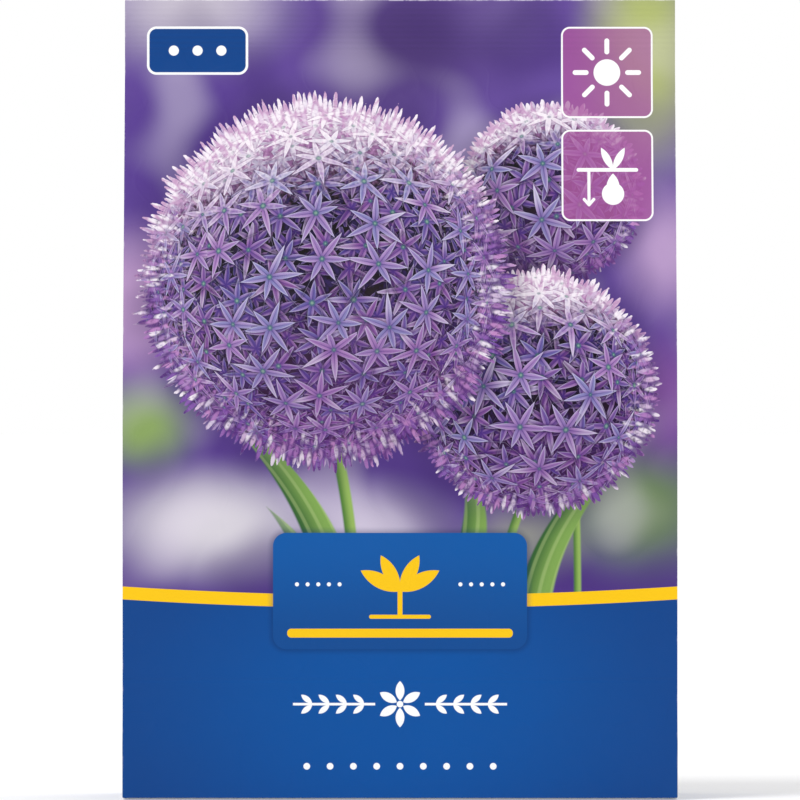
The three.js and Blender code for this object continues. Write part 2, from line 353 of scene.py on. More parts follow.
def make_seam():
    """The overlapping strip follows the back panel's dents, one sheet's thickness further out. Its
    cut edge stands up, and towards the sheet that it is part of the step is soft. The glue has
    drawn it down in slight puckers."""
    z = np.concatenate([np.arange(BASE_LIFT, FINE_FROM, UP_STEP),
                        np.arange(FINE_FROM, HEIGHT, SEAM_FINE_STEP), [HEIGHT - 0.01]])
    x, z = np.meshgrid(np.linspace(SEAM_EDGE + SEAM_WIDTH, SEAM_EDGE, SEAM_COLUMNS), z)
    up = np.sin(np.pi * np.clip(z / SEAL_FOOT, 0, 1)) ** 2
    y = half_depth(z) + PANEL_BULGE * up * (1 - (x / (WIDTH / 2)) ** 2)
    y = y + dents(-x, z, WIDTH / 2 - np.abs(x)) + seal_ribs(z)
    u = WIDTH / 2 + DEPTH + (WIDTH / 2 - x)
    from_edge = x - SEAM_EDGE
    lift = SEAM_CLEAR + SEAM_STEP * smooth((SEAM_WIDTH - from_edge) / SEAM_RISE)
    drawn = 1 + soft_noise(x, z, PUCKER_CELL, PUCKER_SEED)
    lift = lift + PUCKER * np.exp(-((from_edge / PUCKER_REACH) ** 2)) * drawn
    outer, inner = (np.stack([x, y + off, z], -1) for off in (lift, -SEAM_SUNK))
    return slab("packet_seam", outer, inner, np.stack([u, z], -1))


def make_flap():
    """The long flap under the base: a flat strip with its corners cut back a little."""
    x, y = np.meshgrid(np.linspace(-1, 1, FLAP_GRID[0]), np.linspace(1, -1, FLAP_GRID[1]))
    y_place = y * FLAP_DEPTH / 2
    x_place = x * (WIDTH / 2 - FLAP_INSET - FLAP_CORNER_CUT * np.clip(np.abs(y) * 6 - 5, 0, 1))
    wave = FLAP_WAVE * soft_noise(x_place, y_place, FLAP_CELL, FLAP_SEED) * (1 - np.abs(y) ** 8)
    low, high = FLAP_FOOT + wave.clip(-FLAP_FOOT, 0), FLAP_TOP + 0 * x
    outer, inner = (np.stack([x_place, y_place, level], -1) for level in (low, high))
    return slab("packet_base_flap", outer, inner, np.stack([x_place, y_place - BASE_PRINT_DROP], -1))


def make_tucks():
    """Each end of the base first folds in as a triangle, whose point reaches half the depth."""
    tucks = []
    for side, name in ((-1, "packet_base_tuck_left"), (1, "packet_base_tuck_right")):
        part, across = np.meshgrid(np.linspace(0, 1, TUCK_GRID[0]), np.linspace(-1, 1, TUCK_GRID[1]) * side)
        x = side * (WIDTH / 2 - TUCK_SETBACK - part * (DEPTH / 2 - TUCK_SHORT))
        y = across * (DEPTH / 2 - TUCK_INSET) * (1 - (1 - TUCK_POINT) * part)
        outer, inner = (np.stack([x, y, level + 0 * x], -1) for level in (TUCK_FOOT, BASE_LIFT + 0.1))
        tucks.append(slab(name, outer[::-1], inner[::-1], np.stack([x, y - BASE_PRINT_DROP], -1)[::-1]))
    return tucks


glued = [make_seam(), make_flap(), *make_tucks()]
for piece in glued:
    crisp_folds(piece)
    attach(piece, "root")
    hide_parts("packet")

# ---- The printing -----------------------------------------------------------
# The sheet is printed in full colour before it is folded, then varnished to a low gloss. Every
# place in it is in millimetres along the sheet: 0 across is the middle of the front, and the
# right side, the back and the left side follow round. Drawings are distances to their outlines.


def feed(tree, sockets, values):
    """Gives a node's sockets their values, each a field or plain."""
    for socket, value in zip(sockets, values):
        if isinstance(value, Field):
            tree.links.new(value.out, socket)
        else:
            socket.default_value = value


class Field:
    """A number at every point of the sheet, as the output of one of the material's nodes."""

    def __init__(self, tree, out):
        self.tree, self.out = tree, out

    def math(self, operation, *others):
        node = self.tree.nodes.new("ShaderNodeMath")
        node.operation = operation
        feed(self.tree, node.inputs, (self, *others))
        return Field(self.tree, node.outputs[0])

    def __add__(self, other):
        return self.math("ADD", other)

    def __sub__(self, other):
        return self.math("SUBTRACT", other)

    def __mul__(self, other):
        return self.math("MULTIPLY", other)

    def __truediv__(self, other):
        return self.math("DIVIDE", other)

    def __pow__(self, other):
        return self.math("POWER", other)

    def __abs__(self):
        return self.math("ABSOLUTE")

    __radd__, __rmul__ = __add__, __mul__

    def __neg__(self):
        return self.math("MULTIPLY", -1)

    def __rsub__(self, other):
        return (-self).math("ADD", other)

    def least(self, other):
        return self.math("MINIMUM", other)

    def most(self, other):
        return self.math("MAXIMUM", other)

    def root(self):
        return self.math("SQRT")

    def ease(self, low, high):
        """0 below low, 1 above high and a smoothstep between them; low may be the larger."""
        node = self.tree.nodes.new("ShaderNodeMapRange")
        node.interpolation_type = "SMOOTHSTEP"
        self.tree.links.new(self.out, node.inputs["Value"])
        node.inputs["From Min"].default_value, node.inputs["From Max"].default_value = low, high
        return Field(self.tree, node.outputs["Result"])


def ink_edge(distance, soft=0.07):
    """Cover of a printed shape from its distance field: 1 inside, 0 outside, with a fine edge."""
    return distance.ease(soft, -soft)


def place_vector(tree, x, y, z=0.0):
    """A point from three numbers, each a field or plain."""
    node = tree.nodes.new("ShaderNodeCombineXYZ")
    feed(tree, node.inputs, (x, y, z))
    return node.outputs["Vector"]


def hypot(x, y, middle=(0, 0)):
    """How far a place is from a point."""
    place = place_vector(x.tree, x, y)
    node = x.tree.nodes.new("ShaderNodeVectorMath")
    node.operation = "DISTANCE"
    x.tree.links.new(place, node.inputs[0])
    node.inputs[1].default_value = (*middle, 0)
    return Field(x.tree, node.outputs["Value"])


def turned(x, y, foot, degrees):
    """Places along and across a direction from a point."""
    c, s = float(np.cos(np.radians(degrees))), float(np.sin(np.radians(degrees)))
    along = x.math("MULTIPLY_ADD", c, y.math("MULTIPLY_ADD", s, -foot[0] * c - foot[1] * s))
    across = y.math("MULTIPLY_ADD", c, x.math("MULTIPLY_ADD", -s, foot[0] * s - foot[1] * c))
    return along, across


def disc(x, y, cx, cy, radius):
    """Distance to the edge of a round spot."""
    return hypot(x, y, (cx, cy)) - radius


def rounded_box(x, y, left, right, low, high, radius):
    """Distance to a box with round corners: how far a place is from the box that is smaller by
    the rounding, less the rounding."""
    dx = abs(x - (left + right) / 2) - ((right - left) / 2 - radius)
    dy = abs(y - (low + high) / 2) - ((high - low) / 2 - radius)
    return hypot(dx.most(0), dy.most(0)) + dx.most(dy).least(0) - radius


def stroke(x, y, start, end, width):
    """Distance to a straight line with round ends."""
    run = end[0] - start[0], end[1] - start[1]
    half = float(np.hypot(*run)) / 2
    middle = start[0] + run[0] / 2, start[1] + run[1] / 2
    along, across = turned(x, y, middle, float(np.degrees(np.arctan2(run[1], run[0]))))
    return hypot((abs(along) - half).most(0), across) - width / 2


def srgb(hex_colour):
    """A screen colour such as "0b559f" as the linear colour that a node takes."""
    parts = np.array([int(hex_colour[i:i + 2], 16) / 255 for i in (0, 2, 4)])
    linear = np.where(parts <= 0.04045, parts / 12.92, ((parts + 0.055) / 1.055) ** 2.4)
    return (*map(float, linear), 1.0)


def layer(tree, below, ink, cover):
    """One ink over what is printed below it. Colours are hex text or sockets."""
    node = tree.nodes.new("ShaderNodeMix")
    node.data_type, node.clamp_factor = "RGBA", True
    feed(tree, [node.inputs["Factor"]], [cover])
    for socket, colour in ((node.inputs["A"], below), (node.inputs["B"], ink)):
        if isinstance(colour, str):
            socket.default_value = srgb(colour)
        else:
            tree.links.new(colour, socket)
    return node.outputs["Result"]


def split_place(tree, vector):
    """A point's three numbers."""
    node = tree.nodes.new("ShaderNodeSeparateXYZ")
    tree.links.new(vector, node.inputs[0])
    return [Field(tree, out) for out in node.outputs]


def sheet_places(tree):
    """Across and up the sheet in millimetres, from the print's own UV map."""
    source = tree.nodes.new("ShaderNodeUVMap")
    source.uv_map = "print"
    return split_place(tree, source.outputs["UV"])[:2]


# ---- The picture of flowers -------------------------------------------------
# The front's upper part shows three round purple flower heads in a sunny bed. Each head is a ball
# of six-petalled stars: layer over layer of them, foreshortened towards the ball's rim, where
# they stand out against the light as pale strokes.

HEADS = [
    # middle across and up, radius, and a number that picks its own stars: back to front
    (34.4, 137.0, 20.5, 40.7), (30.0, 92.0, 27.5, 83.0), (-17.0, 117.0, 41.0, 16.5),
]
STAR_LAYERS = [
    # spacing, petal length, half width, bluish and pinkish ink, pale edge, and whether the second
    # nearest stars show between the nearest: from the depth of the head out to its surface
    (5.2, 4.4, 0.56, "39286c", "4b2366", 0.10, False),
    (7.6, 6.4, 0.66, "4b3a88", "61347a", 0.20, True),
    (9.2, 7.0, 0.70, "645a9e", "7f4c93", 0.42, True),
    (11.6, 7.9, 0.74, "8682b9", "a278b6", 0.58, True),
]


def wave_noise(tree, vector, scale, detail=2.0, rough=0.5, dimensions="2D"):
    """Cloudy noise from 0 to 1 over a place."""
    node = tree.nodes.new("ShaderNodeTexNoise")
    node.noise_dimensions = dimensions
    tree.links.new(vector, node.inputs["Vector"])
    node.inputs["Scale"].default_value = scale
    node.inputs["Detail"].default_value = detail
    node.inputs["Roughness"].default_value = rough
    return Field(tree, node.outputs["Fac"])


def random_of(tree, value):
    """A random number from 0 to 1, the same wherever the value is the same."""
    node = tree.nodes.new("ShaderNodeTexWhiteNoise")
    node.noise_dimensions = "1D"
    tree.links.new(value.out, node.inputs["W"])
    return Field(tree, node.outputs["Value"])


def scattered(tree, place, scale, loose, feature="F1"):
    """A lattice of points shaken out of line: how far the nearest (or second nearest) one is,
    where it is, and three random numbers of its own."""
    node = tree.nodes.new("ShaderNodeTexVoronoi")
    node.voronoi_dimensions, node.feature = "2D", feature
    tree.links.new(place, node.inputs["Vector"])
    node.inputs["Scale"].default_value = scale
    node.inputs["Randomness"].default_value = loose
    chance = tree.nodes.new("ShaderNodeSeparateColor")
    tree.links.new(node.outputs["Color"], chance.inputs[0])
    numbers = [Field(tree, chance.outputs[name]) for name in ("Red", "Green", "Blue")]
    return Field(tree, node.outputs["Distance"]), node.outputs["Position"], numbers


def star(tree, place, cell, feature, petal, wide):
    """One six-petalled star at the nearest (or second nearest) point of a scattered lattice.
    Returns how far inside a petal's edge a place is, its share of the way along the petal, its
    signed distance from the midrib, two random numbers of that star, the way to its middle, and a
    random number of that petal."""
    _, middle, (turn, tone, _) = scattered(tree, place, 1 / cell, loose=0.62, feature=feature)
    offset = tree.nodes.new("ShaderNodeVectorMath")
    offset.operation = "SUBTRACT"
    tree.links.new(place, offset.inputs[0])
    tree.links.new(middle, offset.inputs[1])
    dx, dy, _ = split_place(tree, offset.outputs[0])
    sixth = dy.math("ARCTAN2", dx) * (3 / np.pi) + turn * 6 + 12.5
    number = sixth.math("FLOOR")
    lean = (sixth - number - 0.5) * (np.pi / 3)
    away = hypot(dx, dy)
    own = random_of(tree, number.math("MODULO", 6.0) + turn * 97)
    part = away * lean.math("COSINE") / (own * (0.42 * petal) + 0.66 * petal)
    across = away * (lean + (own - 0.5) * 0.3).math("SINE")
    held = part.most(0).least(1)
    inside = held.root() * (1 - held) * (2.6 * wide) - abs(across)
    return inside, held, across, turn, tone, away, own


def star_layer(tree, place, below, lit, spec):
    """Lays one layer of stars over what is below it, with a soft shadow round every petal. Where
    the sun strikes the head, petals turn nearly white and their shadows magenta."""
    cell, petal, wide, cool, warm, pale, both = spec
    shadow = layer(tree, "120a22", "8d3f90", lit)
    colour = below
    for feature in ("F2", "F1") if both else ("F1",):
        inside, part, across, turn, tone, away, own = star(tree, place, cell, feature, petal, wide)
        ink = layer(tree, cool, warm, (tone * 1.2 + own * 0.7 - 0.45).least(1).most(0))
        ink = layer(tree, ink, "c79ad2", across.ease(-0.15, 0.45) * 0.3)
        ink = layer(tree, ink, "dedcf6", inside.ease(0.32, 0.0) * part.ease(0.1, 0.7) * pale)
        ink = layer(tree, ink, "f3eefc", own.ease(0.7, 1.0) * part.ease(0.2, 0.6) * (pale * 0.65))
        ink = layer(tree, ink, "3a2274", abs(across).ease(0.22, 0.03) * part.ease(0.9, 0.2) * 0.55)
        ink = layer(tree, ink, "43277f", part.ease(0.30, 0.0) * 0.55)
        ink = layer(tree, ink, "fdf6fb", lit * (pale + 0.4))
        colour = layer(tree, colour, shadow, inside.ease(-0.85, 0.0) * 0.45)
        colour = layer(tree, colour, ink, ink_edge(-inside, 0.06))
        if pale > 0.3:
            heart = away + (turn - 0.5) * 0.3
            colour = layer(tree, colour, "457078", heart.ease(0.85, 0.4) * 0.8)
            colour = layer(tree, colour, "9cc3a4", heart.ease(0.36, 0.1) * 0.55)
    return colour


def draw_heads(tree, x, y, below):
    """The three heads, back to front. The stars are drawn once, in whichever head's own
    coordinates hold at each place, so a head in front hides those behind it."""
    colour = below
    fringe = wave_noise(tree, place_vector(tree, x, y), 0.9)
    own, anywhere, shade = {}, None, None
    for middle_x, middle_y, radius, seed in HEADS:
        dx, dy = (x - middle_x) / radius, (y - middle_y) / radius
        round_off = hypot(dx, dy)
        angle = dy.math("ARCTAN2", dx)
        strands = angle * (radius / 1.15) + seed
        tip = strands - strands.math("FLOOR") - 0.5
        reach = random_of(tree, strands.math("FLOOR")) * 0.07 - tip * tip * 0.22
        inside = 1 + reach + (fringe - 0.5) * 0.05 - round_off
        cover = inside.ease(-0.004, 0.006)
        soft_shadow = round_off.ease(1.22, 0.95) * 0.55
        colour = layer(tree, colour, "2a1740", soft_shadow * 0.5)
        values = {"dx": dx, "dy": dy, "round": round_off, "angle": angle,
                  "radius": constant(tree, radius), "seed": constant(tree, seed)}
        if anywhere is None:
            own, anywhere = values, cover
            continue
        anywhere = anywhere.most(cover)
        step = inside.math("GREATER_THAN", 0.0)
        own = {name: pick(tree, own[name], values[name], step) for name in own}
        between = soft_shadow * (1 - step)
        shade = between if shade is None else (shade * (1 - step) + between).least(0.8)
    rim = own["round"]
    warp = (rim ** 4) * 0.42 + 1
    place = place_vector(tree, own["dx"] * own["radius"] * warp + own["seed"] * 3,
                         own["dy"] * own["radius"] * warp + own["seed"] * 7)
    up = own["dy"] - own["dx"] * 0.18 + (rim ** 4) * 0.5
    lit = (up + (fringe - 0.5) * 0.6).ease(0.45, 1.2)
    ball = layer(tree, "17110f", "2c1d52", wave_noise(tree, place, 0.35, 3.0).ease(0.42, 0.62))
    ball = layer(tree, ball, "9c4b9c", lit)
    for spec in STAR_LAYERS:
        ball = star_layer(tree, place, ball, lit, spec)
    strokes = rim_strokes(tree, own, lit)
    near_rim = (rim + (fringe - 0.5) * 0.5).ease(0.76, 1.02)
    ball = layer(tree, ball, strokes, near_rim * 0.92)
    ball = layer(tree, ball, "fbf0f8", lit * 0.16)
    ball = layer(tree, ball, "5f2373", up.ease(0.1, -0.8) * 0.34)
    return layer(tree, colour, layer(tree, ball, "1f1038", shade), anywhere)


def constant(tree, value):
    """The same number everywhere, for a head's own values."""
    node = tree.nodes.new("ShaderNodeValue")
    node.outputs[0].default_value = value
    return Field(tree, node.outputs[0])


def pick(tree, old, new, step):
    """The old value where step is 0 and the new one where it is 1."""
    node = tree.nodes.new("ShaderNodeMix")
    feed(tree, (node.inputs[0], node.inputs[2], node.inputs[3]), (step, old, new))
    return Field(tree, node.outputs[0])


def rim_strokes(tree, own, lit):
    """Petals seen edge on near a head's rim: short strokes that point out from its middle."""
    place = place_vector(tree, own["angle"] * own["radius"] / 1.25 + own["seed"],
                         own["round"] * own["radius"] / 3.4)
    away, _, (_, tone, bright) = scattered(tree, place, 1.0, loose=0.9)
    ink = layer(tree, "7549a4", "c98fc9", tone)
    ink = layer(tree, ink, "fdf6fd", (bright + lit * 0.7).ease(0.55, 1.0) * 0.9)
    shadow = layer(tree, "4b2472", "b56cb0", lit)
    return layer(tree, ink, shadow, away.ease(0.26, 0.6) * 0.85)


BLURS = [
    # across, up, radius across, radius up, ink, strength: the bed out of focus behind the heads
    (-48, 180, 27, 18, "c9c1cf", 0.95), (-44, 146, 32, 30, "50338a", 0.95),
    (2, 172, 28, 22, "4b3672", 0.95), (56, 172, 17, 34, "b9c56c", 0.9),
    (24, 178, 14, 14, "6e5a96", 0.7), (-60, 112, 16, 20, "cfa9d6", 0.85),
    (-58, 84, 14, 12, "8fae55", 0.85), (-42, 62, 30, 15, "d9d4dc", 0.95),
    (-6, 60, 22, 14, "cfc6d8", 0.8), (54, 66, 24, 18, "6f8c4a", 0.85),
    (28, 58, 16, 10, "a9b08a", 0.6), (60, 90, 14, 18, "85549c", 0.8),
    (60, 124, 13, 18, "c9a9d2", 0.75),
]


def draw_bed(tree, x, y, below):
    """Soft patches of flower and leaf colours, far out of focus, on all of the white sheet. Past
    the front's edges they fade to an even purple. Nothing is printed below this."""
    spot = place_vector(tree, x, y)
    colour = layer(tree, "54388a", "664b9c", y.ease(50, 175))
    for middle_x, middle_y, wide, high, ink, strength in BLURS:
        away = hypot((x - middle_x) / wide, (y - middle_y) / high)
        colour = layer(tree, colour, ink, away.ease(1.15, 0.1) * strength)
    mottle = wave_noise(tree, spot, 0.05, 0.0)
    on_front = abs(x).ease(WIDTH / 2 + 6, WIDTH / 2 - 12)
    colour = layer(tree, colour, "e9dff0", mottle.ease(0.5, 0.85) * (on_front * 0.22 + 0.08))
    return layer(tree, colour, "40286f", mottle.ease(0.5, 0.15) * (on_front * 0.35 + 0.15))


STEMS = [
    # foot across, bend across, width, low end, high end
    (-10.0, -7.0, 2.6, 40.0, 90.0), (22.0, 8.0, 2.1, 40.0, 72.0), (40.0, -3.0, 1.6, 40.0, 122.0),
]
BLADES = [
    # foot across, tip across, bulge, half width, foot height, tip height
    (-14.0, -44.0, 9.0, 4.2, 36.0, 92.0), (4.0, 14.0, 7.0, 3.6, 36.0, 78.0),
    (30.0, 58.0, -8.0, 3.8, 36.0, 86.0), (-22.0, -30.0, 6.0, 3.0, 36.0, 66.0),
]


def draw_green(tree, x, y, below):
    """Upright stems under the heads and strap leaves that curve out between them."""
    colour = below
    for foot, sway, wide, low, high in STEMS:
        part = (y - low) / (high - low)
        off = x - foot - part * part * sway
        inside = (wide / 2 - abs(off)).least(high - y)
        ink = layer(tree, "4c7a33", "93b45c", off.ease(-wide / 2, wide / 3))
        colour = layer(tree, colour, ink, ink_edge(-inside, 0.3))
    for foot, tip, bulge, half, low, high in BLADES:
        part = ((y - low) / (high - low)).most(0).least(1)
        off = x - foot - part * (tip - foot) - part * (1 - part) * (4 * bulge)
        inside = (1 - part ** 3) * half - abs(off)
        ink = layer(tree, "2f5f30", "7fa552", off.ease(-half, half * 0.7))
        ink = layer(tree, ink, "cfe29a", (off * 2.2).math("SINE").ease(0.2, 1.0) * 0.22)
        ink = layer(tree, ink, "b9a7cf", part.ease(0.65, 1.1) * 0.35)
        colour = layer(tree, colour, ink, ink_edge(-inside.least(high - y), 0.35))
    return colour


# ---- The flat shapes of the print -------------------------------------------
# A deep blue panel runs round the packet's foot under a yellow stripe that sags on the front. Over
# them lie a blue plate with a sprout, a small badge, two see-through tiles and white ornaments.
# The right side has a ruler for the planting depth, and the back a white card with signs.

STRIPE_EDGE, STRIPE_MIDDLE, STRIPE_WIDE = 45.2, 43.2, 2.9  # lower edge at the sides and the middle
BLUE, DEEP_BLUE, YELLOW, WHITE = "0052a0", "0c458c", "fbc80c", "ffffff"
PLATE = (-28.6, 28.6, 34.0, 60.2)  # left, right, low and high edge
BADGE = (-57.5, -34.5, 164.0, 175.0)
TILE_MIDDLES, TILE_HALF = [(47.0, 164.5), (47.0, 141.0)], 10.4
ORNAMENT_LEVEL = 21.6
BACK_MIDDLE = WIDTH + DEPTH
CARD = (-25.0, 57.0, 55.0, 107.0)
SIGN_PLACES, SIGN_RADIUS = [(-10.5, 91.0), (16.0, 91.0), (42.5, 91.0)], 10.0
MONTHS_START, MONTHS_LEVEL, MONTH_STEP, MONTH_HALF = CARD[0] + 4.4, 68.0, 6.1, 2.5


def union(*shapes):
    """The distance to whichever shape is nearest."""
    joined = shapes[0]
    for shape in shapes[1:]:
        joined = joined.least(shape)
    return joined


def outline_of(shape, width):
    """A line of this width just inside a shape's edge."""
    return abs(shape + width / 2) - width / 2


def pointed_leaf(x, y, foot, degrees, length, width):
    """Two arcs that meet in a point at the foot and again at the tip."""
    along, across = turned(x, y, foot, degrees)
    radius = (length ** 2 / 4 + width ** 2 / 4) / width
    return hypot(along - length / 2, abs(across) + (radius - width / 2)) - radius


def spokes(x, y, middle, count, turn=0.0):
    """Folds the plane round a point into one sector of count: how far out, and how far across."""
    dx, dy = x - middle[0], y - middle[1]
    sector = dy.math("ARCTAN2", dx) * (count / (2 * np.pi)) + turn
    lean = (sector - sector.math("ROUND")) * (2 * np.pi / count)
    away = hypot(dx, dy)
    return away * lean.math("COSINE"), away * lean.math("SINE")


def sun_sign(x, y, middle, size):
    """A disc with eight rays."""
    out, across = spokes(x, y, middle, 8)
    return union(disc(x, y, *middle, 0.36 * size),
                 stroke(out, across, (0.56 * size, 0), (0.86 * size, 0), 0.13 * size))


def drop_sign(x, y, middle, size):
    """A drop of water: a disc, and the two lines from a point above that just touch it."""
    radius, tip = 0.5 * size, 1.2 * size
    slope = radius / tip
    up = y - (middle[1] - 0.33 * size)
    beside = abs(x - middle[0]) * float(np.sqrt(1 - slope ** 2)) - (tip - up) * slope
    return union(hypot(x - middle[0], up) - radius, beside.most(radius * slope - up))


def planted_sign(x, y, middle, size):
    """A bulb below the ground line with two leaves above it, and an arrow for its depth."""
    cx, cy = middle
    ground = cy + 0.15 * size
    bulb = union(disc(x, y, cx + 0.15 * size, cy - 0.5 * size, 0.3 * size),
                 pointed_leaf(x, y, (cx + 0.15 * size, cy - 0.75 * size), 90, 0.8 * size, 0.36 * size))
    leaves = union(*(pointed_leaf(x, y, (cx + 0.15 * size, ground), lean, 0.68 * size, 0.2 * size)
                     for lean in (62, 118)))
    rod_x, foot = cx - 0.5 * size, cy - 0.8 * size
    arrow = union(stroke(x, y, (rod_x, ground), (rod_x, foot), 0.08 * size),
                  stroke(x, y, (rod_x - 0.13 * size, foot + 0.15 * size), (rod_x, foot), 0.08 * size),
                  stroke(x, y, (rod_x + 0.13 * size, foot + 0.15 * size), (rod_x, foot), 0.08 * size))
    soil = stroke(x, y, (cx - 0.78 * size, ground), (cx + 0.78 * size, ground), 0.1 * size)
    return union(bulb, leaves, arrow, soil)


def flower_sign(x, y, middle, size):
    """Six pointed petals round a small disc."""
    out, across = spokes(x, y, middle, 6, 0.5)
    petals = pointed_leaf(out, across, (0.16 * size, 0), 0, 0.84 * size, 0.38 * size)
    return union(petals, disc(x, y, *middle, 0.14 * size))


def leafy_line(x, y, level, start, stop):
    """A line to both sides of the middle, with a pair of small leaves every few millimetres."""
    step, off = 3.9, abs(x)
    leaf = pointed_leaf((off - start).math("MODULO", step), abs(y - level), (0.5, 0.2), 38, 3.1, 1.25)
    twig = (abs(y - level) - 0.28).most(start - 2 - off).most(off - stop - 1.5)
    return union(leaf.most(start + 0.3 - off).most(off - stop), twig)


def dot_row(x, y, level, reach, step, radius):
    """Dots at even steps, out to reach on both sides of the middle."""
    nearest = (x + (reach + step / 2)).math("MODULO", step) - step / 2
    return (hypot(nearest, y - level) - radius).most(abs(x) - reach - radius)


def draw_plate(tree, x, y, below):
    """The plate: a darker foot, a yellow bar, a sprout between two rows of dots, a soft shadow."""
    shape = rounded_box(x, y, *PLATE, 3.0)
    colour = layer(tree, below, "062a5c", shape.ease(1.6, -0.4) * 0.45)
    face = layer(tree, "0a4c93", "0859a6", y.ease(PLATE[2], PLATE[3]))
    colour = layer(tree, colour, face, ink_edge(shape))
    bar = rounded_box(x, y, PLATE[0] + 3.2, PLATE[1] - 3.2, PLATE[2] + 2.6, PLATE[2] + 4.6, 0.9)
    sprout = union(*(pointed_leaf(x, y, (0, 47.0), lean, length, 0.33 * length)
                     for lean, length in ((28, 10.0), (62, 9.2), (118, 9.2), (152, 10.0))),
                   stroke(x, y, (0, 41.6), (0, 48.0), 1.1),
                   stroke(x, y, (-6.5, 41.3), (6.5, 41.3), 0.9))
    colour = layer(tree, colour, YELLOW, ink_edge(union(bar, sprout)))
    beside = abs(x) - 18.4
    dots = dot_row(beside, y, level=48.6, reach=4.8, step=2.4, radius=0.45)
    return layer(tree, colour, WHITE, ink_edge(dots))


def draw_front(tree, x, y, below):
    """The stripe and the panel go all round. The rest is on the front only."""
    sag = ((x / (WIDTH / 2)) ** 2).least(1) * (STRIPE_EDGE - STRIPE_MIDDLE)
    over = y - sag - STRIPE_MIDDLE
    middle = hypot(x / 66, (y - 22) / 44)
    panel = layer(tree, BLUE, DEEP_BLUE, middle.ease(0.2, 1.1))
    colour = layer(tree, below, YELLOW, ink_edge(over - STRIPE_WIDE))
    colour = draw_plate(tree, x, y, layer(tree, colour, panel, ink_edge(over)))
    signs = union(flower_sign(x, y, (0, ORNAMENT_LEVEL), 5.2),
                  leafy_line(x, y, ORNAMENT_LEVEL, start=7.6, stop=22.6),
                  dot_row(x, y, level=7.6, reach=21.0, step=5.25, radius=0.75))
    badge = rounded_box(x, y, *BADGE, 2.2)
    colour = layer(tree, colour, DEEP_BLUE, ink_edge(badge))
    badge_dots = dot_row(x + 46.0, y, level=169.5, reach=5.4, step=5.4, radius=1.15)
    signs = union(signs, outline_of(badge, 0.55), badge_dots)
    for middle, sign in zip(TILE_MIDDLES, (sun_sign, planted_sign)):
        cx, cy = middle
        tile = rounded_box(x, y, cx - TILE_HALF, cx + TILE_HALF, cy - TILE_HALF, cy + TILE_HALF, 2.0)
        colour = layer(tree, colour, "a8589e", ink_edge(tile) * 0.78)
        signs = union(signs, outline_of(tile, 0.4), sign(x, y, middle, 8.4))
    return layer(tree, colour, WHITE, ink_edge(signs))


def draw_ruler(tree, x, y, below):
    """A white strip up the front half of the right side, with ticks 5 mm apart."""
    left, right, low, high = WIDTH / 2 + 2.5, WIDTH / 2 + 8.0, 52.0, 152.0
    colour = layer(tree, below, WHITE, ink_edge(rounded_box(x, y, left, right, low, high, 1.2)) * 0.92)
    short = abs((y - low + 2.5).math("MODULO", 5.0) - 2.5) - 0.13
    long = abs((y - low + 5.0).math("MODULO", 10.0) - 5.0) - 0.2
    ticks = union(short.most(x - left - 2.2), long.most(x - left - 3.6))
    inside = (left + 0.4 - x).most(low + 1.5 - y).most(y - high + 1.5)
    return layer(tree, colour, "3b2a6d", ink_edge(ticks.most(inside), 0.05))


def draw_card(tree, u, y, below):
    """The card on the back: three signs in purple discs over a row of twelve squares for the
    months, with those for planting in yellow and those for flowering in purple."""
    x = u - BACK_MIDDLE
    colour = layer(tree, below, "fbfafc", ink_edge(rounded_box(x, y, *CARD, 3.0)) * 0.95)
    signs = None
    for middle, sign in zip(SIGN_PLACES, (planted_sign, sun_sign, drop_sign)):
        colour = layer(tree, colour, "6f4aa5", ink_edge(disc(x, y, *middle, SIGN_RADIUS)))
        own = sign(x, y, middle, 0.78 * SIGN_RADIUS)
        signs = own if signs is None else union(signs, own)
    colour = layer(tree, colour, WHITE, ink_edge(signs))
    place = (x - MONTHS_START) / MONTH_STEP
    month = place.math("FLOOR")
    square = abs((place - month - 0.5) * MONTH_STEP).most(abs(y - MONTHS_LEVEL)) - MONTH_HALF
    square = square.most(MONTHS_START - x).most(x - MONTHS_START - 12 * MONTH_STEP)
    tint = layer(tree, "d9d3e6", "7a4fae", (abs(month - 4.5) - 0.6).ease(0.1, -0.1))
    tint = layer(tree, tint, "f2b90c", (abs(month - 9.0) - 1.2).ease(0.1, -0.1))
    return layer(tree, colour, tint, ink_edge(square))


# ---- The finish of the sheet ------------------------------------------------
# The ink lies under a thin satin varnish on paper of about 150 grams. Handling has rubbed the ink
# off along the folds and the cut edges, and left soft crumples and the creases of its folding.

FOLDS = [-WIDTH / 2, WIDTH / 2, WIDTH / 2 + DEPTH, 1.5 * WIDTH + DEPTH, 1.5 * WIDTH + 2 * DEPTH]
PLEAT_CREASES = [WIDTH / 2 + DEPTH / 2, 1.5 * WIDTH + 1.5 * DEPTH]
SEAM_CUT = WIDTH + DEPTH - SEAM_EDGE  # the seam's cut edge, where the ink stops just short of it


def nearest_of(x, places):
    """How far across the sheet the nearest of these places is."""
    return union(*(abs(x - place) for place in places))


def worn_ink(tree, x, y, spot, below):
    """Paper shows in broken threads along the folds, the pleats and the top edge, and as a fine
    bare line along the seam's cut edge."""
    rubbed = wave_noise(tree, spot, 0.3, 4.0, 0.72)
    fold = nearest_of(x, FOLDS).ease(0.3, 0.0) * rubbed.ease(0.5, 0.8)
    crease = nearest_of(x, PLEAT_CREASES).ease(0.4, 0.0) * rubbed.ease(0.42, 0.8)
    edge = y.ease(HEIGHT - 0.3, HEIGHT - 0.1) * rubbed.ease(0.4, 0.62)
    seam = (x - SEAM_CUT).ease(-0.5, -0.42) * (x - SEAM_CUT).ease(0.06, 0.01)
    paper = (fold * 0.4).most(crease * 0.3).most(edge * 0.45).most(seam * 0.9)
    return layer(tree, below, "f1eef2", paper)


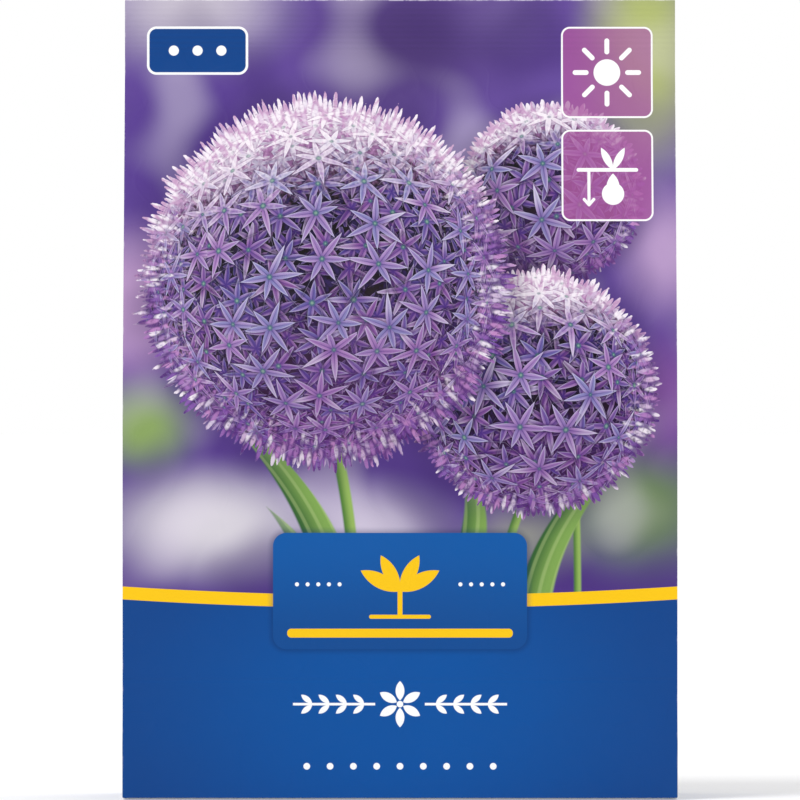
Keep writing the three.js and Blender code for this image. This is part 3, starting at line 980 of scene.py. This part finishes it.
def sheet_relief(tree, x, y, spot):
    """Height of the paper's small relief in millimetres: crumples, creases and fibre."""
    crumple = wave_noise(tree, spot, 0.075, 2.0) * 0.22
    fine = wave_noise(tree, spot, 1.7, 3.0, 0.65) * 0.012
    ridge = abs(wave_noise(tree, spot, 0.05, 1.0) - 0.5).ease(0.018, 0.0) * 0.018
    across_pleat = nearest_of(x, PLEAT_CREASES)
    on_side = across_pleat.ease(DEPTH / 2 + 0.1, DEPTH / 2)
    level = abs(y - BASE_CREASE).ease(0.7, 0.0)
    slanted = abs(y - BASE_CREASE + across_pleat).ease(0.7, 0.0) * on_side
    return crumple + fine + ridge - level.most(slanted) * 0.05


def ink_group(name, draw):
    """One part of the print as a node group: the place on the sheet and what lies below come in,
    and the ink that shows comes out."""
    tree = bpy.data.node_groups.new(name, "ShaderNodeTree")
    for socket, kind in (("Across", "Float"), ("Up", "Float"), ("Below", "Color")):
        tree.interface.new_socket(socket, in_out="INPUT", socket_type="NodeSocket" + kind)
    tree.interface.new_socket("Ink", in_out="OUTPUT", socket_type="NodeSocketColor")
    places = tree.nodes.new("NodeGroupInput").outputs
    ink = draw(tree, Field(tree, places["Across"]), Field(tree, places["Up"]), places["Below"])
    tree.links.new(ink, tree.nodes.new("NodeGroupOutput").inputs["Ink"])
    return tree


INK_GROUPS = [ink_group(draw.__name__, draw) for draw in
              (draw_bed, draw_green, draw_heads, draw_front, draw_ruler, draw_card)]


def new_material(name):
    """A material, its tree and its one shader."""
    material = bpy.data.materials.new(name)
    material.use_nodes = True
    return material, material.node_tree, material.node_tree.nodes["Principled BSDF"]


def emboss(tree, surface, height, distance, strength=1.0):
    """Relief from a height field: distance is how high 1 stands, in metres."""
    relief = tree.nodes.new("ShaderNodeBump")
    relief.inputs["Strength"].default_value = strength
    relief.inputs["Distance"].default_value = distance
    tree.links.new(height.out, relief.inputs["Height"])
    tree.links.new(relief.outputs["Normal"], surface.inputs["Normal"])


def print_material():
    """The print under its varnish: one group of inks over the next, then wear, gloss and relief."""
    material, tree, surface = new_material("printed_sheet")
    x, y = sheet_places(tree)
    spot = place_vector(tree, x, y)
    colour = None
    for group in INK_GROUPS:
        part = tree.nodes.new("ShaderNodeGroup")
        part.node_tree = group
        feed(tree, (part.inputs["Across"], part.inputs["Up"]), (x, y))
        if colour is not None:
            tree.links.new(colour, part.inputs["Below"])
        colour = part.outputs["Ink"]
    tree.links.new(worn_ink(tree, x, y, spot, colour), surface.inputs["Base Color"])
    rough = wave_noise(tree, spot, 0.4, 3.0) * 0.14 + 0.3
    tree.links.new(rough.out, surface.inputs["Roughness"])
    surface.inputs["Specular IOR Level"].default_value = 0.2
    emboss(tree, surface, sheet_relief(tree, x, y, spot), MM)
    return material


def paper_material(name, painted_glow=0.0):
    """The sheet's unprinted side and cut edges: off-white, with fibres and small flecks. Inside the
    packet the paper gets a faint painted glow, which stands in for the daylight that comes through the thin
    sheet."""
    material, tree, surface = new_material(name)
    place = tree.nodes.new("ShaderNodeTexCoord").outputs["Object"]
    fibre = wave_noise(tree, place, 900, 4.0, dimensions="3D")
    paper = layer(tree, "dcd8cd", "f3f1ea", fibre.ease(0.35, 0.6))
    tree.links.new(paper, surface.inputs["Base Color"])
    tree.links.new(paper, surface.inputs["Emission Color"])
    # painted glow: the inside paper gives faint light of its own, in place of daylight through the sheet
    surface.inputs["Emission Strength"].default_value = painted_glow
    surface.inputs["Roughness"].default_value = 0.85
    emboss(tree, surface, fibre, 0.05 * MM, strength=0.5)
    return material


# the inside of the sheet gets a faint painted glow, standing in for daylight through the thin paper
finishes = [print_material(), paper_material("cut_paper"), paper_material("paper_inside", painted_glow=0.012)]
for piece in (sheet, *glued):
    for finish in finishes:
        piece.data.materials.append(finish)

# ---- The bulb ---------------------------------------------------------------
# A dry flower bulb stands in the packet on its root plate. Papery brown scales wrap it and come
# to a dry neck, and short stubs of last year's roots splay out below.

bulb_low, bulb_high = (np.array(corner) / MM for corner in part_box("bulb"))
BULB_OUTLINE = np.array([
    (0, 1.6), (8.5, 1.2), (10.8, 2.2), (12.6, 4.6), (18.6, 8.6), (23.6, 15), (24.9, 22),
    (23.2, 29), (18.4, 35), (12.2, 39), (7.2, 42), (4.6, 45.6), (3.7, 49.4), (0, 50.4),
])  # radius and height, from the root plate up to the dry neck
BULB_ROWS, BULB_SIDES = 150, 160
BULB_LOBES = ((2, 0.012, 0.4), (5, 0.008, 1.9), (13, 0.004, 0.0))  # count, depth and turn
FIBRES, FIBRE_DEPTH = 46, 0.12  # ribs that run up the skin
SCALES, SCALE_STEP, SCALE_RISE = 3, 0.35, 0.05  # edges that overlap, and the share that one rises in
CRUST, CRUST_CELL, CRUST_SEED = 0.12, 3.1, 31  # unevenness of the root plate and the neck
ROOTS, ROOT_ROWS, ROOT_SIDES = 46, 7, 6


def smooth_curve(knots, count):
    """Even steps along a curve that runs through every knot, bent as its neighbours lie."""
    part = np.linspace(0, len(knots) - 1, count)
    index = np.clip(part.astype(int), 0, len(knots) - 2)
    t = (part - index)[:, None]
    padded = np.concatenate([knots[:1], knots, knots[-1:]])
    a, b, c, d = (padded[index + k] for k in range(4))
    bent = (2 * a - 5 * b + 4 * c - d) * t ** 2 + (3 * b - a - 3 * c + d) * t ** 3
    return 0.5 * (2 * b + (c - a) * t + bent)


def make_bulb():
    """Turned outline with ribs that run up the scales, and a few scale edges that overlap."""
    profile = smooth_curve(BULB_OUTLINE, BULB_ROWS)
    radius, height = profile[1:-1, :1].clip(0.05), profile[1:-1, 1:]
    turn = np.linspace(0, 2 * np.pi, BULB_SIDES, endpoint=False)[None, :]
    swell = 1 + sum(depth * np.cos(count * turn + start) for count, depth, start in BULB_LOBES)
    body = smooth((height - 3) / 6) * smooth((49 - height) / 8)
    ribs = FIBRE_DEPTH * np.sin(FIBRES * turn + 1.5 * np.sin(height / 9)) * body
    spiral = (turn + 0.5 * np.sin(height / 17)) * SCALES / (2 * np.pi) % 1
    scale_edge = SCALE_STEP * smooth(spiral / SCALE_RISE) * (1 - spiral) * body
    rough = CRUST * soft_noise(turn * 24, height, CRUST_CELL, CRUST_SEED) * (1 - body)
    radius = radius * swell + ribs - scale_edge + rough
    points = np.stack([radius * np.cos(turn), radius * np.sin(turn), height + 0 * turn], -1)
    index, walls = ring_walls(*points.shape[:2])
    following = np.roll(index, -1, axis=1)
    foot, top = np.full((2, BULB_SIDES), [[index.size], [index.size + 1]])
    foot_fan = np.stack([following[0], index[0], foot], -1)
    top_fan = np.stack([index[-1], following[-1], top], -1)
    points = np.concatenate([points.reshape(-1, 3), [[0, 0, profile[0, 1]], [0, 0, profile[-1, 1]]]])
    points[:, 2] += bulb_high[2] - points[:, 2].max()
    return make_mesh("bulb_body", points, [*walls, *foot_fan, *top_fan])


def make_roots():
    """Two rings of thin tapered stubs that curve out and down from the root plate."""
    rng = np.random.default_rng(12)
    points, faces = [], []
    part = np.linspace(0, 1, ROOT_ROWS)
    ring = 2 * np.pi * np.arange(ROOT_SIDES)[:, None] / ROOT_SIDES
    for i in range(ROOTS):
        turn = 2 * np.pi * (i + rng.uniform(-0.3, 0.3)) / ROOTS
        start, length = rng.uniform(6.5, 10.2), rng.uniform(2.6, 4.8)
        thick = rng.uniform(0.34, 0.5)
        out = start + length * part ** 0.8
        level = 2.6 - (2.3 + rng.uniform(-0.2, 0.0)) * np.sin(part * np.pi / 2) + 0.6 * part
        wander = rng.uniform(-1.2, 1.2) * part ** 2
        centre = np.stack([out * np.cos(turn) - wander * np.sin(turn),
                           out * np.sin(turn) + wander * np.cos(turn), level], -1)
        across = np.array([-np.sin(turn), np.cos(turn), 0.0])
        round_it = np.cos(ring) * across + np.sin(ring) * [0, 0, 1]
        wide = (thick * (1 - 0.75 * part))[:, None, None]
        index, walls = ring_walls(ROOT_ROWS, ROOT_SIDES, first=ROOT_ROWS * ROOT_SIDES * len(points))
        points.append((centre[:, None] + wide * round_it).reshape(-1, 3))
        faces += [*np.roll(walls[:, ::-1], 1, axis=1), index[0], index[-1][::-1]]
    points = np.concatenate(points)
    points[:, 2] += bulb_low[2] - points[:, 2].min()
    return make_mesh("bulb_roots", points, faces)


def skin_material():
    """Papery brown skin: fibres run up it, darker towards the neck and the root plate, with paler
    patches where the outermost layer has come away."""
    material, tree, surface = new_material("dry_bulb_skin")
    place = tree.nodes.new("ShaderNodeTexCoord").outputs["Object"]
    x, y, z = (number * (1 / MM) for number in split_place(tree, place))
    away = hypot(x, y) + 0.3

    def grain(round_scale, up_scale, detail):
        spot = place_vector(tree, x / away * round_scale, y / away * round_scale, z * up_scale)
        return wave_noise(tree, spot, 1.0, detail, dimensions="3D")

    fibres, threads, patches = grain(30, 0.11, 3), grain(75, 0.2, 2), grain(2.2, 0.09, 3)
    colour = layer(tree, "8a5a30", "c4935c", fibres.ease(0.35, 0.65))
    colour = layer(tree, colour, "5f3a1e", threads.ease(0.6, 0.72) * 0.55)
    colour = layer(tree, colour, "e2cfa6", patches.ease(0.58, 0.63) * 0.7)
    colour = layer(tree, colour, "6a4526", z.ease(bulb_high[2] - 13, bulb_high[2] - 2) * 0.75)
    colour = layer(tree, colour, "7d6a4c", z.ease(5.0, 2.8) * 0.85)
    tree.links.new(colour, surface.inputs["Base Color"])
    rough = 0.68 - fibres.ease(0.4, 0.7) * 0.22
    tree.links.new(rough.out, surface.inputs["Roughness"])
    height = fibres + threads * 0.6 + patches.ease(0.58, 0.61) * 0.5
    emboss(tree, surface, height, 0.25 * MM, strength=0.8)
    return material


def root_material():
    """Dry roots: straw-coloured at the root plate, greyer and darker at their tips."""
    material, tree, surface = new_material("dry_roots")
    place = tree.nodes.new("ShaderNodeTexCoord").outputs["Object"]
    x, y, _ = (number * (1 / MM) for number in split_place(tree, place))
    mottle = wave_noise(tree, place, 1600, dimensions="3D")
    colour = layer(tree, "d8c49a", "8c7450", hypot(x, y).ease(9.5, 14.5))
    colour = layer(tree, colour, "6d5637", mottle.ease(0.5, 0.7) * 0.6)
    tree.links.new(colour, surface.inputs["Base Color"])
    surface.inputs["Roughness"].default_value = 0.85
    return material


bulb_pieces = [make_bulb(), make_roots()]
for piece, finish in zip(bulb_pieces, (skin_material(), root_material())):
    piece.data.materials.append(finish)
    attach(piece, "root")
    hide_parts("bulb")

# ---- The studio -------------------------------------------------------------
# A white floor, an even white surround and two large soft lamps, with the camera level with the
# middle of the packet and so far off that its upright edges stay parallel, as in the photograph.

CAMERA_DISTANCE = 3.0
PICTURE_SENSOR = 36.0
FLOOR_REACH = 30.0
FLOOR_WHITE, FLOOR_GLOW = 0.9, 0.3  # the floor gives light of its own, so that it stays white
SURROUND, SURROUND_IN_GLOSS = 0.50, 0.22  # light from all round, and how bright gloss mirrors it


def make_floor():
    """A white floor that gloss doesn't mirror."""
    corners = np.array([(-1, -1, 0), (1, -1, 0), (1, 1, 0), (-1, 1, 0)]) * FLOOR_REACH
    floor = make_mesh("floor", corners / MM, [(0, 1, 2, 3)])
    material, _, surface = new_material("white_floor")
    surface.inputs["Base Color"].default_value = (FLOOR_WHITE, FLOOR_WHITE, FLOOR_WHITE, 1)
    surface.inputs["Roughness"].default_value = 0.9
    surface.inputs["Emission Color"].default_value = (1, 1, 1, 1)
    surface.inputs["Emission Strength"].default_value = FLOOR_GLOW
    floor.data.materials.append(material)
    floor.visible_glossy = False


def make_sun(name, turn, lift, strength, softness):
    """Even light from turn degrees round from the front, lift degrees above the floor."""
    lamp = bpy.data.lights.new(name, "SUN")
    lamp.energy, lamp.angle = strength, np.radians(softness)
    holder = bpy.data.objects.new(name, lamp)
    bpy.context.scene.collection.objects.link(holder)
    holder.rotation_euler = (np.radians(90 - lift), 0, np.radians(turn))


def make_camera():
    """The bottom front edge and the top edge lie on the picture's lower and upper borders."""
    bottom_away = CAMERA_DISTANCE - DEPTH / 2 * MM
    top_away = CAMERA_DISTANCE - SEAL_THICK / 2 * MM
    level = HEIGHT * MM * bottom_away / (bottom_away + top_away)
    lens = PICTURE_SENSOR * bottom_away / (2 * level)
    data = bpy.data.cameras.new("camera")
    data.lens, data.sensor_width = lens, PICTURE_SENSOR
    data.clip_start, data.clip_end = 0.1, 60
    camera = bpy.data.objects.new("camera", data)
    bpy.context.scene.collection.objects.link(camera)
    camera.location = (0, -CAMERA_DISTANCE, level)
    camera.rotation_euler = (np.pi / 2, 0, 0)
    bpy.context.scene.camera = camera


world = bpy.data.worlds.new("surround")
world.use_nodes = True
surround = world.node_tree.nodes["Background"]
surround.inputs["Color"].default_value = (1, 1, 1, 1)
rays = world.node_tree.nodes.new("ShaderNodeLightPath").outputs
seen, mirrored = (Field(world.node_tree, rays[name]) for name in ("Is Camera Ray", "Is Glossy Ray"))
strength = SURROUND + seen * (1 - SURROUND) - mirrored * (SURROUND - SURROUND_IN_GLOSS)
world.node_tree.links.new(strength.out, surround.inputs["Strength"])
bpy.context.scene.world = world
bpy.context.scene.view_settings.view_transform = "Standard"
make_floor()
make_sun("key", turn=-38, lift=42, strength=1.5, softness=24)
make_sun("back", turn=150, lift=35, strength=0.5, softness=40)
make_camera()
